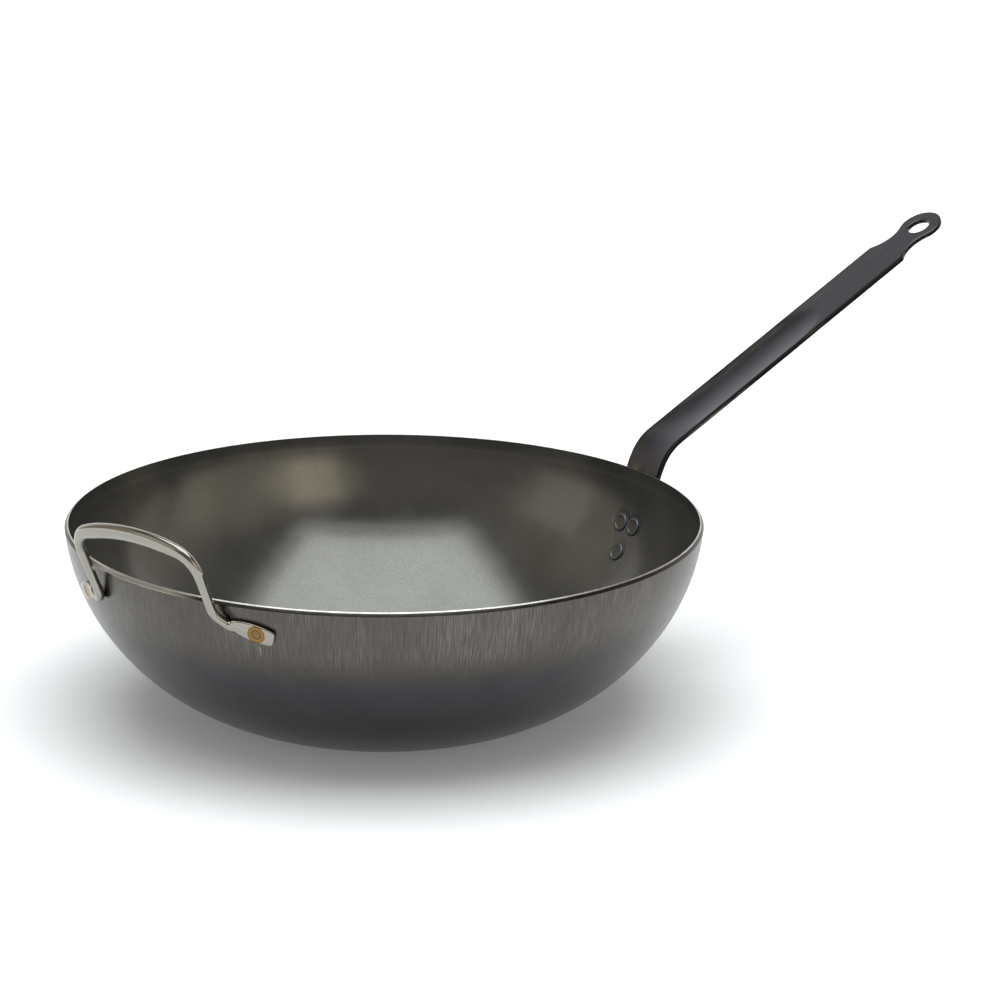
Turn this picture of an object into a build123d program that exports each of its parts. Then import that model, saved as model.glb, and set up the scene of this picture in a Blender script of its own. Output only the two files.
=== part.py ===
"""Carbon steel wok: a pressed bowl, a riveted strap handle and a welded loop of rod opposite it.

The frame has its origin at the centre of the flat base, +Z up and +X along the long handle.
Lengths are in millimetres and angles in degrees.
"""

import os
from math import acos, asin, cos, degrees, radians, sin, sqrt

from build123d import *

os.makedirs("parts", exist_ok=True)

# Bowl: the outside of the wall is a flat base and three arcs that run into each other.
# Each arc ends where the wall stands at the named angle to the floor.
rim_radius = 200.0
wall_thickness = 2.5
knuckle_radius = 50.3
knuckle_angle = 20.3
belly_radius = 147.5
belly_angle = 57.1
shoulder_radius = 129.6
rim_angle = 85.3
rim_bevel_height = 2.0
rim_bevel_width = 1.1
rim_face_fall = 0.95

# Long handle: a strap whose foot follows the wall, which leaves it just below the rim.
strap_width = 33.8
strap_thickness = 3.5
foot_drop = 66.5
foot_corner_radius = 12.0
leave_drop = 11.5
lead_radius = 66.0
lead_angle = 62.0
bend_radius = 34.0
grip_angle = 28.4
grip_length = 241.5
dish_radius = 95.0
dish_start = 28.0
dish_end = 108.0
dish_fade = 34.0
neck_width = 22.0
neck_radius = 23.5
eye_outer_radius = 15.0
eye_tip_shift = 1.2
eye_bore_radius = 7.5
eye_bore_edge = 0.6
seat_gap = 0.05

# Rivets: two above and one below, each with a low head inside and a round head outside.
rivet_shank_radius = 3.5
rivet_clearance = 0.05
upper_rivet_drop = 36.5
lower_rivet_drop = 54.2
rivet_spacing = 13.8
inner_head_radius = 5.8
inner_head_height = 0.9
inner_head_dish_radius = 3.9
inner_head_dish_depth = 0.35
outer_head_radius = 6.5
outer_head_height = 3.6
head_gap = 0.02

# Helper handle: a loop of rod that leans outwards, with flattened ends on the wall. Its crown is
# pressed to an oval, which stands taller than the rod in the loop's plane.
rod_radius = 2.8
crown_half_height = 5.2
crown_half_depth = 3.6
loop_azimuth = 193.15
loop_tilt = 20.9
loop_skew = 3.8
loop_half_width = 51.9
loop_rise = 36.4
loop_rim_gap = 5.1
leg_lean = -1.5
loop_corner_radius = 16.3
crown_radius = 158.0
left_leg_drop = 17.8
right_leg_drop = 10.8
left_bend_radius = 3.4
right_bend_radius = 10.0
left_run_length = 4.0
right_run_length = 7.6
left_run_slope = 5.0
right_run_slope = 36.0
pad_slope = 16.7
pad_thickness = 2.8
left_weld_distance = 71.3
right_weld_distance = 73.3
weld_drop = 19.15
weld_skew = 1.9
left_pad_inner_length = 8.5
right_pad_inner_length = 13.8
pad_outer_length = 11.0
pad_inner_width = 7.2
pad_middle_width = 11.5
pad_outer_width = 8.8
pad_corner_radius = 2.0
weld_mark_radius = 5.2
weld_mark_depth = 0.3

# How far a cutting tool runs past what it cuts.
overrun = 6.0


def rise(radius, low, high):
    """Height gained along an arc between two wall angles."""
    return radius * (cos(radians(low)) - cos(radians(high)))


def run(radius, low, high):
    """Radius gained along an arc between two wall angles."""
    return radius * (sin(radians(high)) - sin(radians(low)))


shoulder_height = rise(shoulder_radius, belly_angle, rim_angle)
bowl_height = (
    rise(knuckle_radius, 0, knuckle_angle)
    + rise(belly_radius, knuckle_angle, belly_angle)
    + shoulder_height
)
base_radius = (
    rim_radius
    - run(knuckle_radius, 0, knuckle_angle)
    - run(belly_radius, knuckle_angle, belly_angle)
    - run(shoulder_radius, belly_angle, rim_angle)
)


def wall_at(drop):
    """Radius, height and wall angle of the outside of the wall, a drop below the rim."""
    if drop <= shoulder_height:
        angle = degrees(acos(drop / shoulder_radius + cos(radians(rim_angle))))
        return rim_radius - run(shoulder_radius, angle, rim_angle), bowl_height - drop, angle
    angle = degrees(acos((drop - shoulder_height) / belly_radius + cos(radians(belly_angle))))
    belly_top_radius = rim_radius - run(shoulder_radius, belly_angle, rim_angle)
    return belly_top_radius - run(belly_radius, angle, belly_angle), bowl_height - drop, angle


def wall_plane(azimuth, drop, standoff=0):
    """Plane that touches the outside of the wall, its z outwards and its x level along the wall."""
    radius, height, angle = wall_at(drop)
    across, lift = sin(radians(angle)), -cos(radians(angle))
    level = Vector(-sin(radians(azimuth)), cos(radians(azimuth)), 0)
    outward = Vector(across * cos(radians(azimuth)), across * sin(radians(azimuth)), lift)
    spot = Vector(radius * cos(radians(azimuth)), radius * sin(radians(azimuth)), height)
    return Plane(origin=spot + outward * standoff, x_dir=level, z_dir=outward)


def turned(plane, angle):
    """The same plane with its x turned towards its y."""
    x_dir = plane.x_dir * cos(radians(angle)) + plane.y_dir * sin(radians(angle))
    return Plane(origin=plane.origin, x_dir=x_dir, z_dir=plane.z_dir)


# Rivet planes lie on the outside of the wall, one for each rivet, with z pointing outwards.
upper_rivet_azimuth = degrees(asin(rivet_spacing / 2 / wall_at(upper_rivet_drop)[0]))
rivet_planes = {
    "rivet_upper_left": wall_plane(upper_rivet_azimuth, upper_rivet_drop),
    "rivet_upper_right": wall_plane(-upper_rivet_azimuth, upper_rivet_drop),
    "rivet_lower": wall_plane(0, lower_rivet_drop),
}

# The wall's section runs out along the base and up the outside, over the rim and back inside.
bevel_turn = degrees(rim_bevel_height / shoulder_radius)
with BuildPart() as bowl:
    with BuildSketch(Plane.XZ):
        with BuildLine():
            base = Line((0, 0), (base_radius, 0))
            knuckle = JernArc(base @ 1, base % 1, knuckle_radius, knuckle_angle)
            belly = JernArc(knuckle @ 1, knuckle % 1, belly_radius, belly_angle - knuckle_angle)
            shoulder = JernArc(belly @ 1, belly % 1, shoulder_radius, rim_angle - bevel_turn - belly_angle)
            rim_inward = Vector(-sin(radians(rim_angle)), cos(radians(rim_angle)))
            rim_corner = Vector(rim_radius, bowl_height)
            bevel_top = rim_corner + rim_inward * rim_bevel_width - Vector(0, rim_face_fall)
            bevel = Line(shoulder @ 1, bevel_top)
            rim_face = Line(bevel @ 1, rim_corner + rim_inward * wall_thickness)
            floor = Line((0, wall_thickness), (base_radius, wall_thickness))
            inner_knuckle = JernArc(floor @ 1, floor % 1, knuckle_radius - wall_thickness, knuckle_angle)
            inner_belly = JernArc(
                inner_knuckle @ 1,
                inner_knuckle % 1,
                belly_radius - wall_thickness,
                belly_angle - knuckle_angle,
            )
            inner_shoulder = JernArc(
                inner_belly @ 1,
                inner_belly % 1,
                shoulder_radius - wall_thickness,
                rim_angle - belly_angle,
            )
            Line((0, 0), (0, wall_thickness))
        make_face()
    revolve(axis=Axis.Z)
    for plane in rivet_planes.values():
        with BuildSketch(plane):
            Circle(rivet_shank_radius + rivet_clearance)
        extrude(amount=overrun, both=True, mode=Mode.SUBTRACT)


def sag(half_width, radius):
    """How far an arc of a radius dips at the middle of a chord."""
    return radius - sqrt(radius**2 - half_width**2)


def strap_section(plane, curve_radius):
    """Section of the dished strap: two arcs about one centre, its inner edges level with the origin."""
    half = strap_width / 2
    dip = sag(half, curve_radius)
    outer_middle = -dip - strap_thickness
    outer_edge = outer_middle + sag(half, curve_radius + strap_thickness)
    with BuildSketch(plane) as section:
        with BuildLine():
            ThreePointArc((-half, 0), (0, -dip), (half, 0))
            Line((half, 0), (half, outer_edge))
            ThreePointArc((half, outer_edge), (0, outer_middle), (-half, outer_edge))
            Line((-half, outer_edge), (-half, 0))
        make_face()
    return section.sketch


# The line of the strap's inner edges, from the end of its foot up to the grip. The foot is dished
# to fit round the wall, so its edges lie further in than its middle, which seats on the wall.
foot_radius, foot_height, foot_angle = wall_at(foot_drop)
leave_angle = wall_at(leave_drop)[2]
edge_offset = seat_gap - sag(strap_width / 2, rim_radius)
foot_start = (
    foot_radius + edge_offset * sin(radians(foot_angle)),
    foot_height - edge_offset * cos(radians(foot_angle)),
)
# Each stretch is an arc up to the named wall angle. A foot that reaches below the shoulder of the
# bowl starts with a stretch along the belly.
stretches = [
    (shoulder_radius + edge_offset, leave_angle),
    (lead_radius, lead_angle),
    (bend_radius, grip_angle),
]
if foot_angle < belly_angle:
    stretches.insert(0, (belly_radius + edge_offset, belly_angle))
with BuildLine(Plane.XZ) as strap_path:
    spot, heading, slope = foot_start, (cos(radians(foot_angle)), sin(radians(foot_angle))), foot_angle
    for radius, end_slope in stretches:
        stretch = JernArc(spot, heading, radius, end_slope - slope)
        spot, heading, slope = stretch @ 1, stretch % 1, end_slope

grip_start, grip_direction = spot, heading
grip_up = Vector(-grip_direction.Z, 0, grip_direction.X)


def grip_section_plane(distance):
    """Plane square to the grip, a distance along it from the bend, with y towards its top face."""
    return Plane(origin=grip_start + grip_direction * distance, x_dir=(0, 1, 0), z_dir=grip_direction)


# The top face of the grip, with x along the grip and y across it.
grip_top = Plane(origin=grip_start, x_dir=grip_direction, z_dir=grip_up)
flat_start = dish_end + dish_fade
neck_centre_height = neck_width / 2 + neck_radius
ring_position = grip_length + eye_tip_shift
neck_position = ring_position - sqrt((neck_radius + eye_outer_radius) ** 2 - neck_centre_height**2)
shoulder_position = neck_position - sqrt(neck_radius**2 - (neck_centre_height - strap_width / 2) ** 2)
neck_join = neck_radius / (neck_radius + eye_outer_radius)

with BuildPart() as long_handle:
    foot_section = Plane(origin=strap_path.line @ 0, x_dir=(0, 1, 0), z_dir=strap_path.line % 0)
    sweep(sections=strap_section(foot_section, rim_radius), path=strap_path.line)
    # The dish deepens along the first stretch of the grip, runs on, and fades out into the flat end.
    dish_sections = [
        strap_section(grip_section_plane(0), rim_radius),
        strap_section(grip_section_plane(dish_start), dish_radius),
        strap_section(grip_section_plane(dish_end), dish_radius),
    ]
    with BuildSketch(grip_section_plane(flat_start), mode=Mode.PRIVATE) as flat_section:
        with Locations((0, -strap_thickness / 2)):
            Rectangle(strap_width, strap_thickness)
    dish_sections.append(flat_section.sketch)
    for nearer, farther in zip(dish_sections, dish_sections[1:]):
        loft(sections=[nearer, farther], ruled=True)
    # The flat end in plan: straight sides, shoulders, a neck and the ring round the hanging eye.
    with BuildSketch(grip_top):
        with BuildLine():
            side = Line((flat_start, strap_width / 2), (shoulder_position, strap_width / 2))
            neck_end = (
                neck_position + (ring_position - neck_position) * neck_join,
                neck_centre_height * (1 - neck_join),
            )
            RadiusArc(side @ 1, neck_end, -neck_radius)
            mirror(about=Plane.XZ)
            Line((flat_start, strap_width / 2), (flat_start, -strap_width / 2))
            ThreePointArc(neck_end, (ring_position + eye_outer_radius, 0), (neck_end[0], -neck_end[1]))
        make_face()
        with Locations((grip_length, 0)):
            Circle(eye_bore_radius, mode=Mode.SUBTRACT)
    extrude(amount=-strap_thickness)
    # The eye's edges are eased on both faces.
    eye_edges = long_handle.edges().filter_by(GeomType.CIRCLE).filter_by(
        lambda edge: abs(edge.radius - eye_bore_radius) < seat_gap
    )
    chamfer(eye_edges, length=eye_bore_edge)
    # The foot's two lower corners are rounded.
    foot_plane = wall_plane(0, foot_drop)
    with BuildSketch(foot_plane):
        for side_sign in (-1, 1):
            with BuildLine():
                corner_x = side_sign * strap_width / 2
                Line((corner_x, 0), (corner_x - side_sign * foot_corner_radius, 0))
                Line((corner_x, 0), (corner_x, foot_corner_radius))
                RadiusArc(
                    (corner_x - side_sign * foot_corner_radius, 0),
                    (corner_x, foot_corner_radius),
                    -side_sign * foot_corner_radius,
                )
            make_face()
    extrude(amount=foot_corner_radius, both=True, mode=Mode.SUBTRACT)
    for plane in rivet_planes.values():
        with BuildSketch(plane):
            Circle(rivet_shank_radius + rivet_clearance)
        extrude(amount=strap_thickness + overrun, both=True, mode=Mode.SUBTRACT)

# Each rivet's section is turned about its own axis. Its inner head spans the hollow of the wall.
inner_head_lift = sag(inner_head_radius, shoulder_radius - wall_thickness) + head_gap
inner_face = -wall_thickness - inner_head_lift
outer_face = seat_gap + strap_thickness + head_gap
outer_head_curve = (outer_head_radius**2 + outer_head_height**2) / (2 * outer_head_height)
rivets = {}
for name, plane in rivet_planes.items():
    with BuildPart() as rivet:
        with BuildSketch(Plane(origin=plane.origin, x_dir=plane.x_dir, z_dir=-plane.y_dir)):
            with BuildLine():
                inner_top = inner_face - inner_head_height
                Polyline(
                    (0, inner_top + inner_head_dish_depth),
                    (inner_head_dish_radius, inner_top + inner_head_dish_depth),
                    (inner_head_dish_radius + inner_head_dish_depth, inner_top),
                    (inner_head_radius - inner_head_dish_depth, inner_top),
                    (inner_head_radius, inner_top + inner_head_dish_depth),
                    (inner_head_radius, inner_face),
                    (rivet_shank_radius, inner_face),
                    (rivet_shank_radius, outer_face),
                    (outer_head_radius, outer_face),
                )
                head_crown = (0, outer_face + outer_head_height)
                RadiusArc((outer_head_radius, outer_face), head_crown, -outer_head_curve)
                Line(head_crown, (0, inner_top + inner_head_dish_depth))
            make_face()
        revolve(axis=Axis(plane.origin, plane.z_dir))
    rivets[name] = rivet

# The loop's own plane: x along it, y up and outwards, with its origin level with the rim.
leg_rim_distance = sqrt(rim_radius**2 - loop_half_width**2)
loop_distance = leg_rim_distance + rod_radius + loop_rim_gap
loop_out = Vector(cos(radians(loop_azimuth)), sin(radians(loop_azimuth)), 0)
loop_along = Vector(-loop_out.Y, loop_out.X, 0)
loop_plane = turned(
    Plane(
        origin=loop_out * loop_distance + Vector(0, 0, bowl_height),
        x_dir=loop_along,
        z_dir=loop_out * cos(radians(loop_tilt)) - Vector(0, 0, sin(radians(loop_tilt))),
    ),
    loop_skew,
)


def pad_spot(along, drop, standoff):
    """Plane on the wall where the skewed loop puts a point, with x level and y up the wall."""
    skew_cos, skew_sin = cos(radians(weld_skew)), sin(radians(weld_skew))
    turned_drop = drop * skew_cos - along * skew_sin
    turned_along = along * skew_cos + drop * skew_sin
    azimuth = loop_azimuth + degrees(asin(turned_along / wall_at(turned_drop)[0]))
    return wall_plane(azimuth, turned_drop, standoff)


# The crown arc meets the corner arcs where both have the same slope.
crown_centre = loop_rise - crown_radius
lean_cos, lean_sin = cos(radians(leg_lean)), sin(radians(leg_lean))
crown_half_turn = (
    degrees(
        asin(
            (loop_half_width * lean_cos - crown_centre * lean_sin - loop_corner_radius)
            / (crown_radius - loop_corner_radius)
        )
    )
    - leg_lean
)
corner_turn = 90 - leg_lean - crown_half_turn
corner_height = crown_centre + (crown_radius - loop_corner_radius) * cos(radians(crown_half_turn))
leg_top_height = corner_height + loop_corner_radius * lean_sin
leg_top = (loop_half_width - leg_top_height * lean_sin / lean_cos, leg_top_height)

# The two feet differ. Each has a drop, a bend radius, a run with its slope, a weld and a pad.
feet = {
    -1: (
        left_leg_drop,
        left_bend_radius,
        left_run_length,
        left_run_slope,
        left_weld_distance,
        left_pad_inner_length,
    ),
    1: (
        right_leg_drop,
        right_bend_radius,
        right_run_length,
        right_run_slope,
        right_weld_distance,
        right_pad_inner_length,
    ),
}

# The plane of each weld, with x level with the pad's middle line and z outwards.
pads = {}
for side_sign, foot in feet.items():
    weld_distance = foot[4]
    weld = pad_spot(side_sign * weld_distance, weld_drop, seat_gap)
    pads[side_sign] = turned(weld, weld_skew - side_sign * pad_slope)

pad_parts = {}
for side_sign, weld in pads.items():
    inner_x, outer_x = -side_sign * feet[side_sign][5], side_sign * pad_outer_length
    with BuildPart() as pad:
        with BuildSketch(weld):
            with BuildLine():
                ThreePointArc(
                    (inner_x, pad_inner_width / 2),
                    (0, pad_middle_width / 2),
                    (outer_x, pad_outer_width / 2),
                )
                Line((outer_x, pad_outer_width / 2), (outer_x, -pad_outer_width / 2))
                ThreePointArc(
                    (inner_x, -pad_inner_width / 2),
                    (0, -pad_middle_width / 2),
                    (outer_x, -pad_outer_width / 2),
                )
                Line((inner_x, pad_inner_width / 2), (inner_x, -pad_inner_width / 2))
            make_face()
            outline_corners = vertices().group_by(Axis.X)[-1 if side_sign > 0 else 0]
            fillet(outline_corners, pad_corner_radius)
        extrude(amount=overrun, both=True)
        # The pad is a piece of a shell that follows the wall.
        with BuildSketch(Plane.XZ):
            with BuildLine():
                shell_start = wall_at(shoulder_height)
                start_out = Vector(sin(radians(belly_angle)), -cos(radians(belly_angle)))
                low = Vector(shell_start[0], shell_start[1])
                near, far = seat_gap, seat_gap + pad_thickness
                tangent = (cos(radians(belly_angle)), sin(radians(belly_angle)))
                turn = rim_angle - belly_angle
                near_arc = JernArc(low + start_out * near, tangent, shoulder_radius + near, turn)
                far_arc = JernArc(low + start_out * far, tangent, shoulder_radius + far, turn)
                Line(near_arc @ 0, far_arc @ 0)
                Line(near_arc @ 1, far_arc @ 1)
            make_face()
        revolve(axis=Axis.Z, mode=Mode.INTERSECT)
        with BuildSketch(weld.offset(pad_thickness + overrun)):
            Circle(weld_mark_radius)
        extrude(amount=-overrun - weld_mark_depth, mode=Mode.SUBTRACT)
    pad_parts[side_sign] = pad

with BuildPart() as helper_handle:
    for side_sign, weld in pads.items():
        pad_direction = weld.x_dir * side_sign
        leg_drop, foot_bend_radius, run_length, run_slope, _, pad_inner_length = feet[side_sign]
        foot_across = loop_half_width + leg_drop * lean_sin / lean_cos
        foot_corner = loop_plane.from_local_coords((side_sign * foot_across, -leg_drop))
        run_along = foot_across + run_length * cos(radians(run_slope))
        run_drop = leg_drop + run_length * sin(radians(run_slope))
        run_spot = pad_spot(side_sign * run_along, run_drop, seat_gap + rod_radius)
        rod_end = run_spot.origin
        leg_joint = loop_plane.from_local_coords((side_sign * leg_top[0], leg_top[1]))
        leg_down = (foot_corner - leg_joint).normalized()
        with BuildLine() as foot_path:
            FilletPolyline(leg_joint, foot_corner, rod_end, radius=foot_bend_radius)
        with BuildSketch(Plane(origin=leg_joint, x_dir=loop_plane.z_dir, z_dir=leg_down)):
            Circle(rod_radius)
        sweep(path=foot_path.line)
        # The forged end: the round rod flattens into the pad.
        end_direction = (rod_end - foot_corner).normalized()
        across = run_spot.z_dir.cross(end_direction).normalized()
        with BuildSketch(Plane(origin=rod_end, x_dir=across, z_dir=end_direction)):
            Circle(rod_radius)
        pad_start = weld.origin - pad_direction * pad_inner_length + weld.z_dir * pad_thickness / 2
        pad_across = weld.z_dir.cross(pad_direction).normalized()
        with BuildSketch(Plane(origin=pad_start, x_dir=pad_across, z_dir=pad_direction)):
            Ellipse(pad_inner_width / 2, pad_thickness / 2)
        loft()
        add(pad_parts[side_sign].part)
    # The crown is one oval, which turns into the round rod along each corner.
    with BuildLine(loop_plane) as loop_path:
        crown_height = crown_centre + crown_radius * cos(radians(crown_half_turn))
        crown_reach = crown_radius * sin(radians(crown_half_turn))
        crown_heading = (cos(radians(crown_half_turn)), sin(radians(crown_half_turn)))
        crown = JernArc((-crown_reach, crown_height), crown_heading, crown_radius, -2 * crown_half_turn)
        right_corner = JernArc(crown @ 1, crown % 1, loop_corner_radius, -corner_turn)
    with BuildLine(loop_plane) as left_path:
        left_heading = (-crown_heading[0], -crown_heading[1])
        left_corner = JernArc((-crown_reach, crown_height), left_heading, loop_corner_radius, corner_turn)
    with BuildSketch(Plane(origin=crown @ 0, x_dir=loop_plane.z_dir, z_dir=crown % 0)):
        Ellipse(crown_half_depth, crown_half_height)
    sweep(path=crown)
    for corner in (left_corner, right_corner):
        corner_start, corner_end = (
            Plane(origin=corner @ place, x_dir=loop_plane.z_dir, z_dir=corner % place) for place in (0, 1)
        )
        with BuildSketch(corner_start, mode=Mode.PRIVATE) as oval_section:
            Ellipse(crown_half_depth, crown_half_height)
        with BuildSketch(corner_end, mode=Mode.PRIVATE) as round_section:
            Circle(rod_radius)
        sweep(sections=[oval_section.sketch, round_section.sketch], path=corner, multisection=True)

pieces = {"bowl": bowl, "long_handle": long_handle, **rivets, "helper_handle": helper_handle}
for name, piece in pieces.items():
    piece.part.label = name
    export_step(piece.part, f"parts/{name}.step")
    print(name, "volume", round(piece.part.volume), "solids", len(piece.part.solids()))
print("height", round(bowl_height, 2), "base radius", round(base_radius, 2), "grip start", grip_start)
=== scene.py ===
# %% [markdown]
# Carbon steel wok
#
# A wok of pressed steel sheet. The bowl is one sheet drawn to a bowl with a flat base. A strap
# handle is held to it by three rivets, and a loop of stainless rod is welded on opposite.
# This lesson dresses the measured model: each piece is worked out again as a finer surface,
# with its worn edges and marks, and gets the finish of its own metal.

# %% Load the measured model
from math import asin, cos, pi, radians, sin, sqrt, tan

import bmesh
import bpy
import numpy as np
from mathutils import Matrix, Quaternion, Vector


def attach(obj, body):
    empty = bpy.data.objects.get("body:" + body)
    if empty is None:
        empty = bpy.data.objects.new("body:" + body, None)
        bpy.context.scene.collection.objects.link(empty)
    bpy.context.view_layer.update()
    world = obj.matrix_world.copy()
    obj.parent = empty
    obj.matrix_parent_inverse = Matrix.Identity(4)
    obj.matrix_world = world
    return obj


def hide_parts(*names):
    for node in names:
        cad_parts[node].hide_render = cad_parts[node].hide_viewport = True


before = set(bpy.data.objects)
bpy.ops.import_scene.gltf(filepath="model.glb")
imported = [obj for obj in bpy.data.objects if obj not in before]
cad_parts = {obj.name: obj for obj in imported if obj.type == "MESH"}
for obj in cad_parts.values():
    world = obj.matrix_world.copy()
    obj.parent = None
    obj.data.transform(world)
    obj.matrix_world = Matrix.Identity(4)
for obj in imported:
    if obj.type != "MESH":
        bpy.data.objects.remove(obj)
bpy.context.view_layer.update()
print("nodes", sorted(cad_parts))

# %% [markdown]
# Sizes
#
# The sizes are those that the model was built from. A die that presses sheet is turned on a
# lathe, so the wall is a flat base and three arcs that run into each other. Each arc ends where
# the wall stands at a known angle to the table.

# %% Sizes of the bowl
mm = 0.001
rim_radius = 200 * mm
wall_thickness = 2.5 * mm
knuckle_radius, knuckle_angle = 50.3 * mm, radians(20.3)
belly_radius, belly_angle = 147.5 * mm, radians(57.1)
shoulder_radius, rim_angle = 129.6 * mm, radians(85.3)
rim_bevel_height, rim_bevel_width, rim_face_fall = 2.0 * mm, 1.1 * mm, 0.95 * mm
seat_gap = 0.05 * mm


def rise(radius, low, high):
    """Height gained along an arc: its radius times the difference of the cosines of its angles."""
    return radius * (np.cos(low) - np.cos(high))


def run(radius, low, high):
    """Radius gained along an arc: its radius times the difference of the sines of its angles."""
    return radius * (np.sin(high) - np.sin(low))


shoulder_height = rise(shoulder_radius, belly_angle, rim_angle)
belly_height = rise(belly_radius, knuckle_angle, belly_angle)
bowl_height = rise(knuckle_radius, 0, knuckle_angle) + belly_height + shoulder_height
belly_top_radius = rim_radius - run(shoulder_radius, belly_angle, rim_angle)
knuckle_top_radius = belly_top_radius - run(belly_radius, knuckle_angle, belly_angle)
base_radius = knuckle_top_radius - run(knuckle_radius, 0, knuckle_angle)
print("bowl height", round(bowl_height / mm, 2), "mm, base radius", round(base_radius / mm, 2), "mm")


def wall_at(drop):
    """Radius and angle of the outside of the wall, for drops below the rim.

    On an arc the cosine of the wall's angle grows evenly with the drop: it is the drop over the
    arc's radius, plus the cosine at the arc's top. The radius then follows from the sines.
    """
    drop = np.asarray(drop, float)
    on_shoulder = drop <= shoulder_height
    shoulder_cosine = np.minimum(drop, shoulder_height) / shoulder_radius + np.cos(rim_angle)
    belly_cosine = np.maximum(drop - shoulder_height, 0) / belly_radius + np.cos(belly_angle)
    angle = np.arccos(np.where(on_shoulder, shoulder_cosine, belly_cosine))
    shoulder_spot = rim_radius - run(shoulder_radius, angle, rim_angle)
    belly_spot = belly_top_radius - run(belly_radius, angle, belly_angle)
    return np.where(on_shoulder, shoulder_spot, belly_spot), angle


def wall_spot(azimuth, drop, standoff=0.0):
    """Points off the outside of the wall, with the wall's outward, level and upward directions.

    The outward direction leans down by what the wall lacks to upright, the level one runs round
    the bowl, and the upward one is square to both.
    """
    azimuth, drop = np.broadcast_arrays(np.asarray(azimuth, float), np.asarray(drop, float))
    radius, angle = wall_at(drop)
    zero = np.zeros_like(azimuth)
    cosine, sine = np.cos(azimuth), np.sin(azimuth)
    outward = np.stack([np.sin(angle) * cosine, np.sin(angle) * sine, -np.cos(angle)], -1)
    level = np.stack([-sine, cosine, zero], -1)
    upward = np.cross(outward, level)
    spot = np.stack([radius * cosine, radius * sine, bowl_height - drop], -1)
    return spot + outward * standoff, outward, level, upward


# %% [markdown]
# From numbers to meshes
#
# Every surface here is a grid: rows of points, each joined to its neighbours by four-sided faces.
# One helper numbers the faces, and another makes the mesh, merges the points that lie on each
# other at seams and poles, and turns the faces outwards.

# %% Helpers for meshes
merge_distance = 0.002 * mm


def grid_faces(rows, columns, around, start):
    """Faces of a grid whose points are numbered row by row: each joins a point, the next in its
    row, and the two beside them in the next row. A grid that goes around joins its last column
    to its first."""
    steps_across = columns if around else columns - 1
    row, column = np.meshgrid(np.arange(rows - 1), np.arange(steps_across), indexing="ij")
    following = (column + 1) % columns
    corners = [row * columns + column, row * columns + following]
    corners += [(row + 1) * columns + following, (row + 1) * columns + column]
    return np.stack(corners, axis=-1).reshape(-1, 4) + start


def make_piece(name, node, grids, measures):
    """A mesh from (points, goes around, face groups) grids, where face groups numbers the
    material of each row of faces. Measures are named values for each point, which the finishes
    read. The piece stands for a node of the model and rides on its body."""
    all_points, all_faces, all_groups, start = [], [], [], 0
    for points, around, groups in grids:
        rows, columns = points.shape[:2]
        faces = grid_faces(rows, columns, around, start)
        all_points.append(points.reshape(-1, 3))
        all_faces.append(faces)
        all_groups.append(np.repeat(np.broadcast_to(groups, rows - 1), len(faces) // (rows - 1)))
        start += rows * columns
    mesh = bpy.data.meshes.new(name)
    mesh.from_pydata(np.concatenate(all_points).tolist(), [], np.concatenate(all_faces).tolist())
    mesh.polygons.foreach_set("material_index", np.concatenate(all_groups).astype(np.int32))
    for measure, values in measures.items():
        values = np.asarray(values, np.float32)
        kind, field = ("FLOAT_VECTOR", "vector") if values.shape[-1] == 3 else ("FLOAT", "value")
        mesh.attributes.new(measure, kind, "POINT").data.foreach_set(field, values.ravel())
    whole = bmesh.new()
    whole.from_mesh(mesh)
    bmesh.ops.remove_doubles(whole, verts=whole.verts, dist=merge_distance)
    bmesh.ops.recalc_face_normals(whole, faces=whole.faces)
    open_edges = sum(not edge.is_manifold for edge in whole.edges)
    whole.to_mesh(mesh)
    whole.free()
    mesh.shade_smooth()
    piece = bpy.data.objects.new(name, mesh)
    bpy.context.scene.collection.objects.link(piece)
    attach(piece, "root")
    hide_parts(node)
    print(name, len(mesh.polygons), "faces,", open_edges, "open edges")
    return piece


def eased_corner(before, corner, after, size, steps=5):
    """A corner of a line rounded off: a parabola that leaves one side and meets the other at the
    same distance from the corner. It is the square-law blend of three points."""
    before, corner, after = (np.asarray(spot, float) for spot in (before, corner, after))
    first, last = (corner + way / np.linalg.norm(way) * size for way in (before - corner, after - corner))
    share = np.linspace(0, 1, steps)[:, None]
    return (1 - share) ** 2 * first + 2 * share * (1 - share) * corner + share**2 * last


def smooth_step(low, high, value):
    """Rises from 0 to 1 between two values: three times the square less twice the cube."""
    share = np.clip((value - low) / (high - low), 0, 1)
    return share * share * (3 - 2 * share)


def off_axis(points, spot, out):
    """Ways of points along an axis through a spot, and their distances from it: the root of the
    square of the way from the spot less the square of the way along the axis."""
    away = points - spot
    along = away @ out
    return along, np.sqrt(np.maximum((away**2).sum(-1) - along**2, 0))


# %% [markdown]
# The rivets' places
#
# The bowl shows where its rivets are, because the press that closed them left a shallow ring in
# the sheet. So their places come before the bowl: two side by side and one below.

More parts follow.
